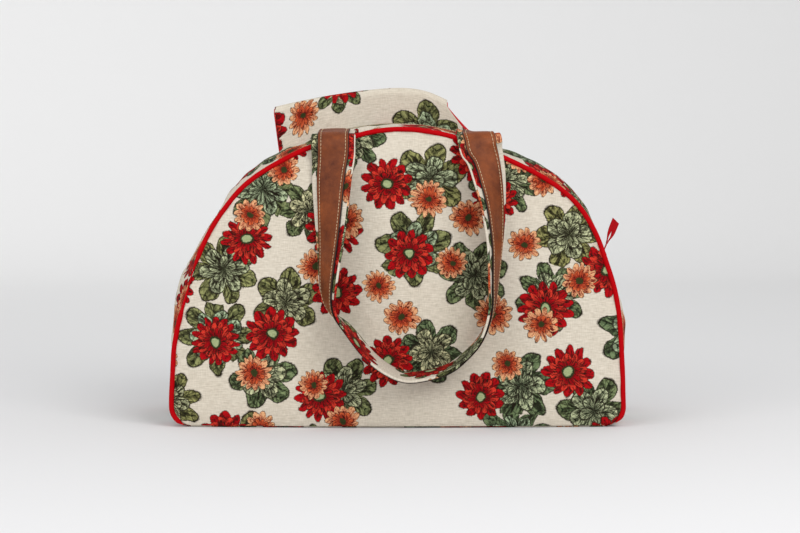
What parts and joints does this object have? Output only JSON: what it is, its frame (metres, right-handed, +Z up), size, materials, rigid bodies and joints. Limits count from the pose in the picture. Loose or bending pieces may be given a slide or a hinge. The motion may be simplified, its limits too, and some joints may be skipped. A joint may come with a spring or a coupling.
{
  "type": "travel bag",
  "caption": "Soft dome-shaped travel bag in printed woven cloth, with red piping, a zip over the top, leather-faced strap handles and a cloth top sleeve.",
  "frame": {"origin": "on the floor, under the middle of the bag", "axes": "+X to the right along the bag's length, +Y from the front panel to the back panel, +Z up"},
  "size_m": [0.508, 0.3216, 0.3681],
  "materials": {
    "tapestry": "woven, printed",
    "red_piping": "smooth cotton",
    "brown_leather": "smooth, mottled",
    "red_lining": "plain weave",
    "red_zip_tape": "twill tape",
    "zip_teeth": "satin",
    "zip_metal": "satin lacquer",
    "red_ribbon": "grosgrain",
    "base_board": "plain"
  },
  "bodies": {
    "bag": {"front_panel": "tapestry", "back_panel": "tapestry", "base_panel": "tapestry", "base_board": "base_board", "zip_gusset_front": "tapestry", "zip_gusset_back": "tapestry", "side_gusset_right": "tapestry", "side_gusset_left": "tapestry", "piping_front": "red_piping", "piping_back": "red_piping", "zip_tape_front": "red_zip_tape", "zip_tape_back": "red_zip_tape", "zip_teeth_front": "zip_teeth", "zip_teeth_back": "zip_teeth", "zip_stop_right": "zip_metal", "zip_stop_left": "zip_metal", "handle_front_strap": "tapestry", "handle_front_leather": "brown_leather", "handle_back_strap": "tapestry", "handle_back_leather": "brown_leather", "top_sleeve": "tapestry", "top_sleeve_lining": "red_lining", "lining_front": "red_lining", "lining_back": "red_lining", "lining_gusset": "red_lining"},
    "zip_slider": {"zip_slider": "zip_metal"},
    "zip_puller": {"zip_puller": "zip_metal", "pull_ribbon": "red_ribbon"}
  },
  "joints": [
    {"name": "zip_run", "type": "hinge", "parent": "bag", "child": "zip_slider", "pos_m": [0, 0, 0.078], "axis": [0, -1, 0], "range_deg": [0, 130]},
    {"name": "puller_swing", "type": "hinge", "parent": "zip_slider", "child": "zip_puller", "pos_m": [0.2331, 0, 0.1867], "axis": [0, -1, 0], "range_deg": [-118, 36]}
  ]
}
